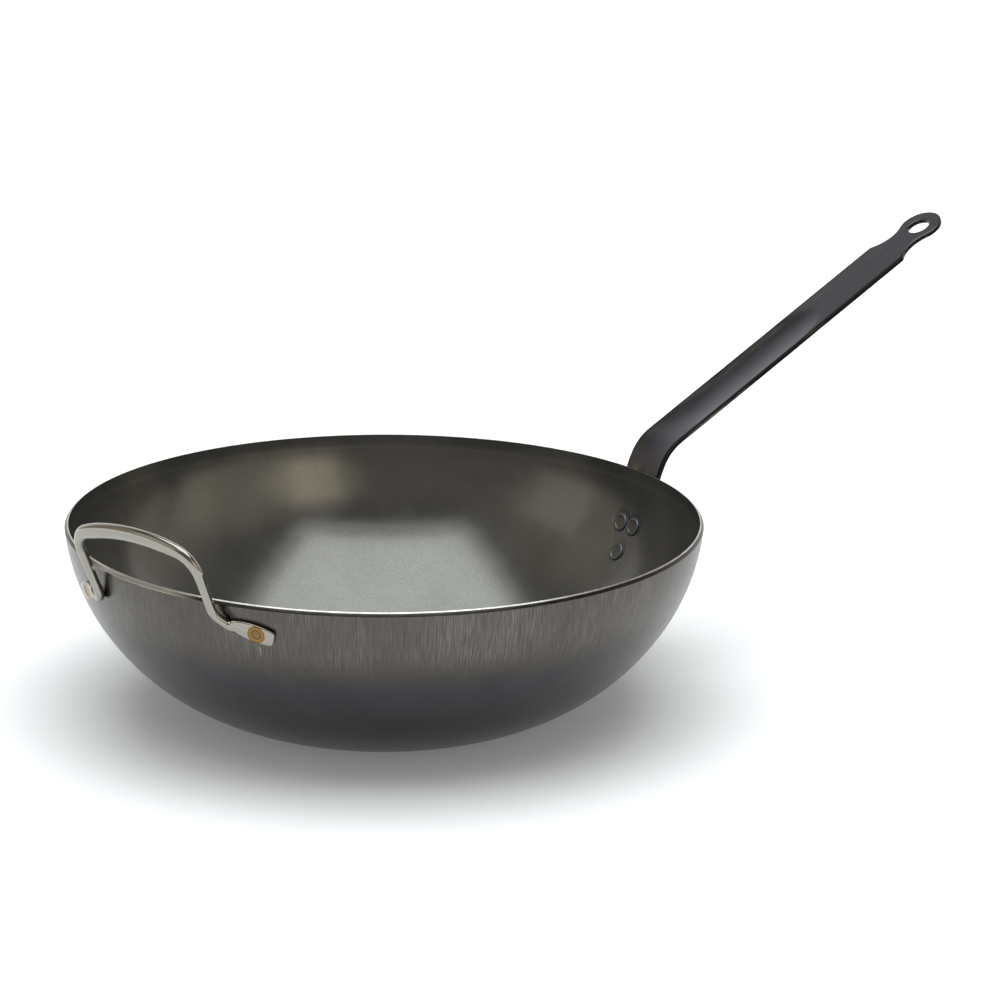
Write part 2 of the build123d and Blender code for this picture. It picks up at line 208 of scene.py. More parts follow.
# %% Where the rivets go
upper_rivet_drop, lower_rivet_drop, rivet_spacing = 36.5 * mm, 54.2 * mm, 13.8 * mm
rivet_shank_radius, inner_disc_radius = 3.5 * mm, 3.9 * mm
inner_head_radius, inner_head_height = 5.8 * mm, 0.9 * mm
outer_head_radius, outer_head_height = 6.5 * mm, 3.6 * mm
press_ring_radius, press_ring_width, press_ring_depth = 6.9 * mm, 0.75 * mm, 0.22 * mm
upper_rivet_azimuth = asin(rivet_spacing / 2 / wall_at(upper_rivet_drop)[0])
rivet_places = {
    "rivet_upper_left": (upper_rivet_azimuth, upper_rivet_drop),
    "rivet_upper_right": (-upper_rivet_azimuth, upper_rivet_drop),
    "rivet_lower": (0.0, lower_rivet_drop),
}
rivet_axes = [wall_spot(*place)[:2] for place in rivet_places.values()]
print("rivets below the rim", [round(drop / mm, 1) for _, drop in rivet_places.values()], "mm")

# %% [markdown]
# The bowl
#
# A sheet drawn in a press has one thickness nearly all over, so the inside line is the outside
# line moved in by that thickness. Spinning both round the middle gives the bowl. The rim is cut
# and ground: a flat face on top and a bevel outside. The grid is finer near the rivets, where the
# press rings need small faces, and coarser elsewhere.

# %% Section of the bowl
base_rows, knuckle_rows, belly_rows, shoulder_rows = 9, 12, 22, 42
bevel_turn = rim_bevel_height / shoulder_radius
# The cut face is bright over this share of its width, inside, and as dark as the bevel outside it.
corner_ease, edge_support, bright_share = 0.22 * mm, 0.3 * mm, 0.62


def wall_angles(top_angle):
    """Angles at which the wall is measured, from the base out to a top angle."""
    knuckle = np.linspace(0, knuckle_angle, knuckle_rows)[:-1]
    belly = np.linspace(knuckle_angle, belly_angle, belly_rows)[:-1]
    return np.concatenate([knuckle, belly, np.linspace(belly_angle, top_angle, shoulder_rows)])


def wall_line(angles, inset):
    """Radius and height of the wall at some angles, moved square to the wall by an inset."""
    knuckle = np.minimum(angles, knuckle_angle)
    belly = np.clip(angles, knuckle_angle, belly_angle)
    shoulder = np.maximum(angles, belly_angle)
    radius = base_radius + run(knuckle_radius, 0, knuckle) + run(belly_radius, knuckle_angle, belly)
    radius += run(shoulder_radius, belly_angle, shoulder)
    height = rise(knuckle_radius, 0, knuckle) + rise(belly_radius, knuckle_angle, belly)
    height += rise(shoulder_radius, belly_angle, shoulder)
    return np.stack([radius - inset * np.sin(angles), height + inset * np.cos(angles)], -1)


outside_line = wall_line(wall_angles(rim_angle - bevel_turn - edge_support / shoulder_radius), 0)
inside_line = wall_line(wall_angles(rim_angle - edge_support / shoulder_radius), wall_thickness)[::-1]
base_line = np.stack([np.linspace(0, base_radius, base_rows)[:-1], np.zeros(base_rows - 1)], -1)
floor_line = base_line[::-1] + [0, wall_thickness]
bevel_foot = wall_line(np.array([rim_angle - bevel_turn]), 0)[0]
rim_corner = wall_line(np.array([rim_angle]), 0)[0]
rim_inward = np.array([-sin(rim_angle), cos(rim_angle)])
bevel_top = rim_corner + rim_inward * rim_bevel_width - [0, rim_face_fall]
rim_inner = rim_corner + rim_inward * wall_thickness
bevel_line = np.concatenate([
    eased_corner(outside_line[-1], bevel_foot, bevel_top, corner_ease),
    eased_corner(bevel_foot, bevel_top, rim_inner, corner_ease),
    [rim_inner + (bevel_top - rim_inner) * bright_share],
])
rim_line = np.concatenate([bevel_line, eased_corner(bevel_top, rim_inner, inside_line[0], corner_ease)])
bowl_line = np.concatenate([base_line, outside_line, rim_line, inside_line, floor_line])
outside_count, rim_count = len(base_line) + len(outside_line), len(rim_line)
bevel_count = len(bevel_line) - 1
print("section points", len(bowl_line))

# %% Spin the bowl and press in the rivet rings
fine_half_angle, fine_columns, coarse_columns = radians(5.5), 46, 270
columns_around = np.concatenate([
    np.linspace(-fine_half_angle, fine_half_angle, fine_columns, endpoint=False),
    np.linspace(fine_half_angle, 2 * pi - fine_half_angle, coarse_columns, endpoint=False),
])
bowl_points = np.stack([
    bowl_line[:, :1] * np.cos(columns_around),
    bowl_line[:, :1] * np.sin(columns_around),
    bowl_line[:, 1:] + 0 * columns_around,
], -1)


def press_rings(points):
    """Pushes the inside of the wall outwards in a ring round each rivet. The ring's section is a
    bell curve of the distance from the rivet's axis."""
    for spot, outward in rivet_axes:
        along, across = off_axis(points, spot, outward)
        bell = np.exp(-(((across - press_ring_radius) / press_ring_width) ** 2))
        near_inside = np.abs(along + wall_thickness) < wall_thickness / 2
        points = points + (bell * near_inside)[..., None] * outward * press_ring_depth
    return points


bowl_points = press_rings(bowl_points)
from_rivet = np.min([off_axis(bowl_points, *axis)[1] for axis in rivet_axes], axis=0)
outside_group, bevel_group, rim_group, inside_group = 0, 1, 2, 3
bowl_groups = np.full(len(bowl_line) - 1, inside_group)
bowl_groups[: outside_count + rim_count] = rim_group
bowl_groups[: outside_count + bevel_count] = bevel_group
bowl_groups[: outside_count] = outside_group
bowl = make_piece("bowl_sheet", "bowl", [(bowl_points, True, bowl_groups)],
                  {"rivet_distance": from_rivet[..., None]})

# %% [markdown]
# The strap handle
#
# The handle is a strap of steel, bent in a press. Its foot is dished to fit round the bowl, then
# it leaves the wall, bends twice and runs out to a hanging eye. Along the grip it is pressed to a
# shallow gutter, which ends like the bowl of a spoon. The outline is cut from flat strap first, so
# the surface is worked out flat too: a place along the strap, one across it and a depth below its
# top face. One function then bends those three numbers into space.

# %% Sizes of the strap
strap_width, strap_thickness = 33.8 * mm, 3.5 * mm
foot_drop, leave_drop, foot_corner_radius = 66.5 * mm, 11.5 * mm, 12 * mm
lead_radius, lead_angle = 66 * mm, radians(62)
bend_radius, grip_angle, grip_length = 34 * mm, radians(28.4), 241.5 * mm
dish_start, dish_end, dish_fade = 28 * mm, 108 * mm, 34 * mm
dish_radius, dish_softness = 95 * mm, 0.02
neck_width, neck_radius, shoulder_ease = 22 * mm, 23.5 * mm, 1.2 * mm
eye_outer_radius, eye_tip_shift = 15 * mm, 1.2 * mm
eye_bore_radius, eye_margin = 7.5 * mm, 4.5 * mm
strap_edge_radius = 0.75 * mm
half_width = strap_width / 2


def sag(half_chord, radius):
    """How far an arc dips at the middle of a chord."""
    return radius - sqrt(radius**2 - half_chord**2)


gutter_at_foot, gutter_at_grip = sag(half_width, rim_radius), sag(half_width, dish_radius)
foot_standoff = seat_gap - gutter_at_foot

# %% The line that the strap follows
foot_radius, foot_angle = (float(value) for value in wall_at(foot_drop))
leave_angle = float(wall_at(leave_drop)[1])
stretch_radii = [belly_radius + foot_standoff, shoulder_radius + foot_standoff, lead_radius, bend_radius]
stretch_angles = [foot_angle, belly_angle, leave_angle, lead_angle, grip_angle]
stretch_lengths = np.abs(np.diff(stretch_angles)) * stretch_radii
bend_ends = np.concatenate([[0], np.cumsum(stretch_lengths)])
grip_from = bend_ends[-1]
line_step, line_before, line_after = 0.1 * mm, 5 * mm, 40 * mm
line_places = np.arange(-line_before, grip_from + grip_length + line_after, line_step)
line_slopes = np.interp(line_places, bend_ends, stretch_angles)
line_x = np.cumsum(np.cos(line_slopes)) * line_step
line_z = np.cumsum(np.sin(line_slopes)) * line_step
line_x += foot_radius + foot_standoff * sin(foot_angle) - np.interp(0, line_places, line_x)
line_z += bowl_height - foot_drop - foot_standoff * cos(foot_angle) - np.interp(0, line_places, line_z)
print("grip starts at", round(np.interp(grip_from, line_places, line_x), 4),
      round(np.interp(grip_from, line_places, line_z), 4))


def gutter(along, across):
    """Depth of the gutter: a parabola across the strap, whose middle depth steps up from the
    foot's to the grip's. Past the end of the full dish it closes as a spoon does, because the
    square of the way past the end is taken off too."""
    distance = along - grip_from
    deepening = smooth_step(0, dish_start, distance)
    depth = gutter_at_foot + (gutter_at_grip - gutter_at_foot) * deepening
    past_end = np.maximum(distance - dish_end, 0) / dish_fade
    hollow = 1 - (across / half_width) ** 2 - past_end**2
    softness = dish_softness * smooth_step(dish_start, dish_end, distance)
    return depth * (hollow + np.sqrt(hollow**2 + softness)) / 2


def bend_strap(along, across, depth):
    """Points of the strap in space: the place on its line, moved square to the line by the
    gutter and the depth."""
    x, z, slope = (np.interp(along, line_places, values) for values in (line_x, line_z, line_slopes))
    below = gutter(along, across) + depth
    return np.stack([x + np.sin(slope) * below, across + 0 * x, z - np.cos(slope) * below], -1)


# %% Outline of the strap, cut flat
eye_place = grip_from + grip_length
ring_place = eye_place + eye_tip_shift
neck_centre = neck_width / 2 + neck_radius
neck_place = ring_place - sqrt((neck_radius + eye_outer_radius) ** 2 - neck_centre**2)
shoulder_place = neck_place - sqrt(neck_radius**2 - (neck_centre - half_width) ** 2)
neck_share = neck_radius / (neck_radius + eye_outer_radius)
neck_end = np.array([neck_place + (ring_place - neck_place) * neck_share, neck_centre * (1 - neck_share)])
cut_place = eye_place - eye_bore_radius - eye_margin


def arc(centre, radius, first, last, steps):
    """Points of an arc in the plane: its centre plus the radius times cosine and sine."""
    angle = np.linspace(first, last, steps)
    return np.stack([centre[0] + radius * np.cos(angle), centre[1] + radius * np.sin(angle)], -1)


def neck_turn(spot):
    """Angle of a spot seen from the centre of the neck's arc."""
    return np.arctan2(spot[1] - neck_centre, spot[0] - neck_place)


def neck_height(place):
    """Half width of the strap along the neck's arc."""
    return neck_centre - np.sqrt(neck_radius**2 - (place - neck_place) ** 2)


corner_centre = (foot_corner_radius, half_width - foot_corner_radius)
shoulder_spot = np.array([shoulder_place, half_width])
after_place = shoulder_place + 2 * shoulder_ease
shoulder_after = np.array([after_place, neck_height(after_place)])
shoulder_curve = eased_corner((0, half_width), shoulder_spot, shoulder_after, shoulder_ease, 7)
cut_spot = np.array([cut_place, neck_height(cut_place)])
# The steps along the side are closest from just before the grip to the end of its gutter.
close_from, close_to = grip_from - 30 * mm, grip_from + dish_end + dish_fade
side_places = np.concatenate([
    np.linspace(foot_corner_radius, close_from, 36)[1:-1],
    np.linspace(close_from, close_to, 90),
    np.linspace(close_to, shoulder_curve[0, 0] - 1 * mm, 14)[1:],
])
strap_side = np.concatenate([
    arc(corner_centre, foot_corner_radius, pi, pi / 2, 14),
    np.stack([side_places, np.full_like(side_places, half_width)], -1),
    shoulder_curve,
    arc((neck_place, neck_centre), neck_radius, neck_turn(shoulder_after), neck_turn(cut_spot), 14),
])
neck_rest = arc((neck_place, neck_centre), neck_radius, neck_turn(cut_spot), neck_turn(neck_end), 8)
ring_turn = np.arctan2(neck_end[1], neck_end[0] - ring_place)
ring_curve = arc((ring_place, 0), eye_outer_radius, ring_turn, -ring_turn, 60)
eye_side = np.concatenate([neck_rest, ring_curve[1:-1], neck_rest[::-1] * [1, -1]])


def edge_normals(line):
    """Outward directions of a line that runs clockwise round the strap, from the differences of
    its neighbours turned a quarter left."""
    tangent = np.gradient(line, axis=0)
    normal = np.stack([-tangent[:, 1], tangent[:, 0]], -1)
    return normal / np.linalg.norm(normal, axis=1, keepdims=True)


across_count = 25
across_shares = np.sin(np.linspace(-pi / 2, pi / 2, across_count))
side_normals = edge_normals(strap_side)
side_normals[0] = (-1, 0)
side_inset = strap_side - side_normals * strap_edge_radius
eye_normals = edge_normals(eye_side)
eye_inset = eye_side - eye_normals * strap_edge_radius
eye_inset[0], eye_inset[-1] = side_inset[-1], side_inset[-1] * [1, -1]
eye_normals[0], eye_normals[-1] = side_normals[-1], side_normals[-1] * [1, -1]

# %% Faces, edges and eye of the strap
sheet_along = np.repeat(side_inset[:, :1], across_count, axis=1)
sheet_across = side_inset[:, 1:] * across_shares
cut_line = np.stack([sheet_along[-1], sheet_across[-1]], -1)
bore_inset_radius = eye_bore_radius + strap_edge_radius
ring_outer = np.concatenate([eye_inset, cut_line[1:-1]])
ring_angles = np.arctan2(ring_outer[:, 1], ring_outer[:, 0] - eye_place)
bore_ways = np.stack([np.cos(ring_angles), np.sin(ring_angles)], -1)
bore_edge = np.array([eye_place, 0]) + bore_inset_radius * bore_ways
ring_shares = np.linspace(0, 1, 9)[:, None, None]
ring_sheet = bore_edge * (1 - ring_shares) + ring_outer * ring_shares

edge_turns = np.linspace(0, pi / 2, 6)
edge_out = np.concatenate([np.sin(edge_turns), np.sin(edge_turns)[::-1]]) * strap_edge_radius
edge_depth = np.concatenate([
    (1 - np.cos(edge_turns)) * strap_edge_radius,
    strap_thickness - (1 - np.cos(edge_turns[::-1])) * strap_edge_radius,
])
foot_line = np.stack([sheet_along[0], sheet_across[0]], -1)
foot_normals = np.tile([-1.0, 0.0], (across_count, 1))
edge_line, edge_ways = (
    np.concatenate([foot[1:-1], side, eye[1:-1], (side * [1, -1])[::-1]])
    for foot, side, eye in ((foot_line, side_inset, eye_inset), (foot_normals, side_normals, eye_normals))
)
edge_plan = edge_line + edge_out[:, None, None] * edge_ways
bore_plan = bore_edge - edge_out[:, None, None] * bore_ways

laid_grids = [
    *((sheet_along, sheet_across, depth, False) for depth in (0.0, strap_thickness)),
    *((ring_sheet[..., 0], ring_sheet[..., 1], depth, True) for depth in (0.0, strap_thickness)),
    (edge_plan[..., 0], edge_plan[..., 1], edge_depth[:, None], True),
    (bore_plan[..., 0], bore_plan[..., 1], edge_depth[:, None], True),
]
strap_grids = [(bend_strap(*laid[:3]), laid[3], 0) for laid in laid_grids]
strap_laid = [np.stack(np.broadcast_arrays(*laid[:3]), -1).reshape(-1, 3) for laid in laid_grids]
strap = make_piece("strap_handle", "long_handle", strap_grids, {"laid_flat": np.concatenate(strap_laid)})

# %% [markdown]
# The rivets
#
# A rivet is a short rod with a head at each end. The inner heads were pressed almost flat, with a
# round disc a little lower than the ring about it, and the outer ones are domes. A rivet is the
# same all round its axis, so each is a profile turned about it.

# %% Turn the rivets
rivet_columns, disc_drop = 64, 0.35 * mm
head_lift = sag(inner_head_radius, shoulder_radius - wall_thickness)
inner_face = -wall_thickness - head_lift
inner_top = inner_face - inner_head_height
outer_face = seat_gap + strap_thickness
dome_radius = (outer_head_radius**2 + outer_head_height**2) / (2 * outer_head_height)
dome_angle = asin(outer_head_radius / dome_radius)
dome_turns = np.linspace(dome_angle, 0, 12)
head_corners = [
    (0, inner_top + disc_drop),
    (inner_disc_radius, inner_top + disc_drop),
    (inner_disc_radius + disc_drop, inner_top),
    (inner_head_radius - disc_drop, inner_top),
    (inner_head_radius, inner_top + disc_drop),
    (inner_head_radius, inner_face),
]
head_line = [np.array([head_corners[0]])]
for before, corner, after in zip(head_corners, head_corners[1:], head_corners[2:]):
    head_line.append(eased_corner(before, corner, after, disc_drop / 2, 6))
shank_line = [(inner_head_radius, inner_face), (rivet_shank_radius, inner_face),
              (rivet_shank_radius, outer_face), (outer_head_radius, outer_face)]
dome_line = np.stack([
    dome_radius * np.sin(dome_turns),
    outer_face + outer_head_height - dome_radius + dome_radius * np.cos(dome_turns),
], -1)
rivet_line = np.concatenate(head_line + [np.array(shank_line), dome_line])
rivet_turns = np.linspace(0, 2 * pi, rivet_columns, endpoint=False)
rivets = {}
for node, (azimuth, drop) in rivet_places.items():
    spot, outward, level, upward = wall_spot(azimuth, drop)
    spoke = np.cos(rivet_turns)[:, None] * level + np.sin(rivet_turns)[:, None] * upward
    points = spot + rivet_line[:, None, :1] * spoke + rivet_line[:, None, 1:] * outward
    from_axis = np.repeat(rivet_line[:, :1], rivet_columns, axis=1)[..., None]
    rivets[node] = make_piece(node.replace("rivet", "pressed_rivet"), node, [(points, True, 0)],
                              {"from_axis": from_axis})

# %% [markdown]
# The loop of rod
#
# Opposite the strap is a loop bent from round stainless rod. Its two ends are forged flat and
# spot welded to the wall. The whole loop is one tube: a section carried along a line, round on the
# rod and flat on the ends. The section's width and thickness are functions of the place along the
# line, so the rod flattens as it does under the hammer.

# %% Sizes of the loop
rod_radius, crown_half_height, crown_half_depth = 2.8 * mm, 5.2 * mm, 3.6 * mm
loop_azimuth, loop_tilt, loop_skew = radians(193.15), radians(20.9), radians(3.8)
loop_half_width, loop_rise, loop_rim_gap = 51.9 * mm, 36.4 * mm, 5.1 * mm
leg_lean, loop_corner_radius, crown_radius = radians(-1.5), 16.3 * mm, 158 * mm
leg_drops = {-1: 17.8 * mm, 1: 10.8 * mm}
foot_bend_radii = {-1: 3.4 * mm, 1: 10 * mm}
run_lengths = {-1: 4 * mm, 1: 7.6 * mm}
run_slopes = {-1: radians(5), 1: radians(36)}
weld_distances = {-1: 71.3 * mm, 1: 73.3 * mm}
pad_inner_lengths = {-1: 8.5 * mm, 1: 13.8 * mm}
weld_drop, weld_skew = 19.15 * mm, radians(1.9)
pad_slope, pad_thickness, pad_outer_length = radians(16.7), 2.8 * mm, 11 * mm
pad_inner_width, pad_middle_width, pad_outer_width = 7.2 * mm, 11.5 * mm, 8.8 * mm
pad_corner_radius, pad_end_ease, pad_squareness = 2 * mm, 0.6 * mm, 2.6
# The oval of the crown fades out from a little before each corner to a little past it.
oval_early, oval_late, flattening_length = 14 * mm, 12 * mm, 6 * mm
weld_mark_radius, weld_mark_depth, weld_lip_width = 5.2 * mm, 0.3 * mm, 0.5 * mm
dent_width_share, dent_steepness, lip_height_share = 0.8, 8, 0.35
mark_end_share, mark_fade_share = 0.9, 0.3

# %% The loop's plane and its bends
loop_out = np.array([cos(loop_azimuth), sin(loop_azimuth), 0])
loop_level = np.array([-loop_out[1], loop_out[0], 0])
loop_normal = loop_out * cos(loop_tilt) - np.array([0, 0, sin(loop_tilt)])
loop_distance = sqrt(rim_radius**2 - loop_half_width**2) + rod_radius + loop_rim_gap
loop_origin = loop_out * loop_distance + np.array([0, 0, bowl_height])
upright = np.cross(loop_normal, loop_level)
loop_x = loop_level * cos(loop_skew) + upright * sin(loop_skew)
loop_y = np.cross(loop_normal, loop_x)
crown_centre = loop_rise - crown_radius
crown_half_turn = asin(
    (loop_half_width * cos(leg_lean) - crown_centre * sin(leg_lean) - loop_corner_radius)
    / (crown_radius - loop_corner_radius)
) - leg_lean
corner_height = crown_centre + (crown_radius - loop_corner_radius) * cos(crown_half_turn)
corner_across = (crown_radius - loop_corner_radius) * sin(crown_half_turn)


def skewed_spot(along, drop, standoff):
    """A spot off the wall at a place along the skewed line of the welds and a drop below it."""
    turned_drop = drop * cos(weld_skew) - along * sin(weld_skew)
    turned_along = along * cos(weld_skew) + drop * sin(weld_skew)
    azimuth = loop_azimuth + np.arcsin(turned_along / wall_at(turned_drop)[0])
    return azimuth, turned_drop, wall_spot(azimuth, turned_drop, standoff)


def half_loop(side):
    """Line of half the loop, from the middle of its crown to the end of a pad, with the wall's
    outward direction at each point, and the centre of the weld.

    The crown and the corner are arcs in the loop's plane. The leg is straight down to the foot's
    bend, and the pad follows the wall at a slope.
    """
    drop = leg_drops[side]
    crown = arc((0, crown_centre), crown_radius, pi / 2, pi / 2 - crown_half_turn, 30)
    corner = arc((corner_across, corner_height), loop_corner_radius,
                 pi / 2 - crown_half_turn, leg_lean, 20)[1:]
    flat = np.concatenate([crown, corner]) * [side, 1]
    loop_part = loop_origin + flat[:, :1] * loop_x + flat[:, 1:] * loop_y
    foot_across = loop_half_width + drop * tan(leg_lean)
    foot_corner = loop_origin + side * foot_across * loop_x - drop * loop_y
    run_along = side * (foot_across + run_lengths[side] * cos(run_slopes[side]))
    run_drop = drop + run_lengths[side] * sin(run_slopes[side])
    rod_end, run_out = skewed_spot(run_along, run_drop, seat_gap + rod_radius)[2][:2]
    weld_along = side * weld_distances[side]
    azimuth, weld_at, welded = skewed_spot(weld_along, weld_drop, seat_gap + pad_thickness)
    pad_places = np.linspace(-pad_inner_lengths[side], pad_outer_length, 45)
    pad_turn = weld_skew - side * pad_slope
    radius, angle = wall_at(weld_at)
    pad_azimuths = azimuth + side * pad_places * cos(pad_turn) / radius
    pad_drops = weld_at - side * pad_places * sin(pad_turn) * np.sin(angle)
    pad_part, pad_out, _, _ = wall_spot(pad_azimuths, pad_drops, seat_gap + pad_thickness / 2)
    leg_way, run_way = foot_corner - loop_part[-1], rod_end - foot_corner
    turn = np.arccos(leg_way @ run_way / np.linalg.norm(leg_way) / np.linalg.norm(run_way))
    bend_size = min(foot_bend_radii[side] * tan(turn / 2), 0.98 * np.linalg.norm(run_way))
    foot_bend = eased_corner(loop_part[-1], foot_corner, rod_end, bend_size, 15)
    line = np.concatenate([loop_part, foot_bend, [rod_end], pad_part])
    outward = np.concatenate([
        np.tile(loop_normal, (len(loop_part), 1)),
        np.tile(run_out, (len(foot_bend) + 1, 1)),
        pad_out,
    ])
    return line, outward, *welded[:2]


# %% Sections along the loop
sample_step, smoothing = 0.6 * mm, 1.1 * mm


def even_samples(line, outward):
    """The line and its outward directions at even steps, smoothed by a bell curve so that the
    straight runs flow into each other. The ends are first drawn out straight, so that they stay."""
    places = np.concatenate([[0], np.cumsum(np.linalg.norm(np.diff(line, axis=0), axis=1))])
    even = np.linspace(0, places[-1], int(places[-1] / sample_step))
    values = np.concatenate([line, outward], axis=1)
    values = np.stack([np.interp(even, places, column) for column in values.T], -1)
    reach = int(4 * smoothing / sample_step)
    before = 2 * values[:1] - values[reach:0:-1]
    after = 2 * values[-1:] - values[-2:-reach - 2:-1]
    drawn = np.concatenate([before, values, after])
    bell = np.exp(-0.5 * (np.arange(-reach, reach + 1) * sample_step / smoothing) ** 2)
    values = np.stack([np.convolve(column, bell / bell.sum(), "valid") for column in drawn.T], -1)
    return even, values[:, :3], values[:, 3:]


left_line, left_out, left_weld, left_weld_out = half_loop(-1)
right_line, right_out, right_weld, right_weld_out = half_loop(1)
whole_line, whole_out = (
    np.concatenate([left[::-1], right[1:]])
    for left, right in ((left_line, right_line), (left_out, right_out))
)
places, line, outward = even_samples(whole_line, whole_out)
from_end = np.minimum(places, places[-1] - places)
middle = np.linalg.norm(np.diff(left_line, axis=0), axis=1).sum()
from_middle = np.abs(places - middle)
crown_reach = crown_radius * crown_half_turn
corner_reach = crown_reach + loop_corner_radius * (pi / 2 - leg_lean - crown_half_turn)
ovalness = 1 - smooth_step(crown_reach - oval_early, corner_reach + oval_late, from_middle)
inner_length = np.where(places < middle, pad_inner_lengths[-1], pad_inner_lengths[1])
pad_length = inner_length + pad_outer_length
flatness = 1 - smooth_step(pad_length, pad_length + flattening_length, from_end)
# The pad's half width is a parabola from its end to the weld, and another from there to the rod.
beyond = np.clip((from_end - pad_outer_length) / inner_length, 0, 1)
before = np.clip(1 - from_end / pad_outer_length, 0, 1)
pad_half = pad_middle_width - (pad_middle_width - pad_inner_width) * beyond**2
pad_half = (pad_half - (pad_middle_width - pad_outer_width) * before**2) / 2
rod_wide = rod_radius + (crown_half_height - rod_radius) * ovalness
rod_thick = rod_radius + (crown_half_depth - rod_radius) * ovalness
half_wide = rod_wide + (pad_half - rod_wide) * flatness
half_thick = rod_thick + (pad_thickness / 2 - rod_thick) * flatness
squareness = 2 + pad_squareness * flatness
from_corner = np.maximum(pad_corner_radius - from_end, 0)
half_wide -= pad_corner_radius - np.sqrt(pad_corner_radius**2 - from_corner**2)
from_face = np.maximum(pad_end_ease - from_end, 0)
half_thick -= pad_end_ease - np.sqrt(pad_end_ease**2 - from_face**2)

tangent = np.gradient(line, axis=0)
tangent /= np.linalg.norm(tangent, axis=1, keepdims=True)
thick_way = outward - (outward * tangent).sum(1, keepdims=True) * tangent
thick_way /= np.linalg.norm(thick_way, axis=1, keepdims=True)
wide_way = np.cross(tangent, thick_way)
turns = np.linspace(0, 2 * pi, 56, endpoint=False)
power = 2 / squareness[:, None]
across, through = (
    (np.sign(wave) * np.abs(wave) ** power * half[:, None])[..., None]
    for wave, half in ((np.cos(turns), half_wide), (np.sin(turns), half_thick))
)
rod_points = line[:, None] + across * wide_way[:, None] + through * thick_way[:, None]


def press_weld(points, spot, out):
    """The mark of the welding electrode: a shallow flat-bottomed dent with a raised lip. The dent
    is a steep bell curve of the distance from the weld's axis, and the lip a narrow one. Both
    fade out through the pad, so that they stay on its top face."""
    height, distance = off_axis(points, spot, out)
    dent = np.exp(-((distance / (weld_mark_radius * dent_width_share)) ** dent_steepness))
    lip = np.exp(-(((distance - weld_mark_radius) / weld_lip_width) ** 2))
    on_top = smooth_step(-mark_end_share * pad_thickness, -mark_fade_share * pad_thickness, height)
    return points + ((lip_height_share * lip - dent) * on_top * weld_mark_depth)[..., None] * out


rod_points = press_weld(rod_points, left_weld, left_weld_out)
rod_points = press_weld(rod_points, right_weld, right_weld_out)
first_end, last_end = (np.broadcast_to(line[at], (1, len(turns), 3)) for at in (0, -1))
rod_points = np.concatenate([first_end, rod_points, last_end])
rod_places = np.concatenate([places[:1], places, places[-1:]])[:, None]
straight_rod = np.broadcast_arrays(rod_places, rod_radius * np.cos(turns), rod_radius * np.sin(turns))
loop = make_piece("rod_loop", "helper_handle", [(rod_points, True, 0)],
                  {"laid_flat": np.stack(straight_rod, -1)})
print("rod length", round(places[-1], 3), "m")

# %% [markdown]
# The camera
#
# The camera stands 2.4 m off, low and to the left of the handle, with a long lens. It first looks
# at the middle of the rim and is then turned a little to the right, up and over.

# %% Camera
view_distance, view_azimuth, view_elevation = 2.4, radians(-122.9), radians(16.312)
turn_right, turn_up, turn_over = radians(1.723), radians(0.248), radians(0.017)
sensor_width, focal_share, clip_distance = 36.0, 3.8251, 50


def studio_way(bearing, elevation):
    """A direction in the studio, from a bearing round from the camera and an elevation: the cosine
    and sine of the azimuth times the elevation's cosine, and the elevation's sine."""
    turn = view_azimuth + bearing
    return Vector((cos(elevation) * cos(turn), cos(elevation) * sin(turn), sin(elevation)))


camera = bpy.data.objects.new("camera", bpy.data.cameras.new("camera"))
bpy.context.scene.collection.objects.link(camera)
toward_camera = studio_way(0, view_elevation)
rim_middle = Vector((0, 0, bowl_height))
camera.location = rim_middle + toward_camera * view_distance
camera.rotation_mode = "QUATERNION"
camera.rotation_quaternion = (
    toward_camera.to_track_quat("Z", "Y")
    @ Quaternion((0, 1, 0), -turn_right)
    @ Quaternion((1, 0, 0), turn_up)
    @ Quaternion((0, 0, 1), -turn_over)
)
camera.data.sensor_width = sensor_width
camera.data.lens = sensor_width * focal_share
camera.data.clip_end = clip_distance
bpy.context.scene.camera = camera
print("lens", round(camera.data.lens, 1), "mm")

# %% [markdown]
# Colour and nodes
#
# A finish is a small graph of nodes that ends in one shader. Colours are written as a screen shows
# them, and a renderer counts light, so each colour goes through one function. A second function
# feeds one socket, and a third adds a node with its choices and its links. Every finish below is
# written with them. The last two start and end a finish of metal. Noise lies mostly between 0.3
# and 0.7, so a share that should swing from nothing to all is taken from a range within those.

# %% Helpers for finishes
# Choices that many nodes share: a range that eases in and out, and a mix of colours.
smooth, colours = {"interpolation_type": "SMOOTHSTEP"}, {"data_type": "RGBA"}


def linear(hex_code):
    """An sRGB hex colour as linear light. Each channel is lifted by 0.055, divided by 1.055 and
    raised to 2.4, or divided by 12.92 where it is very dark."""
    share = np.array([int(hex_code[at:at + 2], 16) for at in (1, 3, 5)]) / 255
    light = np.where(share <= 0.04045, share / 12.92, ((share + 0.055) / 1.055) ** 2.4)
    return (*light.tolist(), 1.0)


def feed(tree, socket, value):
    """Feeds a socket. A node is linked from its first output in use, another node's output as it
    is. A hex code is a colour, and any other value is set on the socket itself."""
    if isinstance(value, bpy.types.Node):
        value = next(output for output in value.outputs if output.enabled)
    if isinstance(value, bpy.types.NodeSocket):
        tree.links.new(value, socket)
    elif value is not None:
        socket.default_value = linear(value) if isinstance(value, str) else value


def add(tree, kind, *inputs, **settings):
    """Adds a node to a tree. The settings are the node's own choices, and the inputs feed the
    sockets that those choices leave in use, in their order. None leaves a socket as it is."""
    made = tree.nodes.new("ShaderNode" + kind)
    for name, value in settings.items():
        setattr(made, name, value)
    for socket, value in zip([socket for socket in made.inputs if socket.enabled], inputs):
        feed(tree, socket, value)
    return made


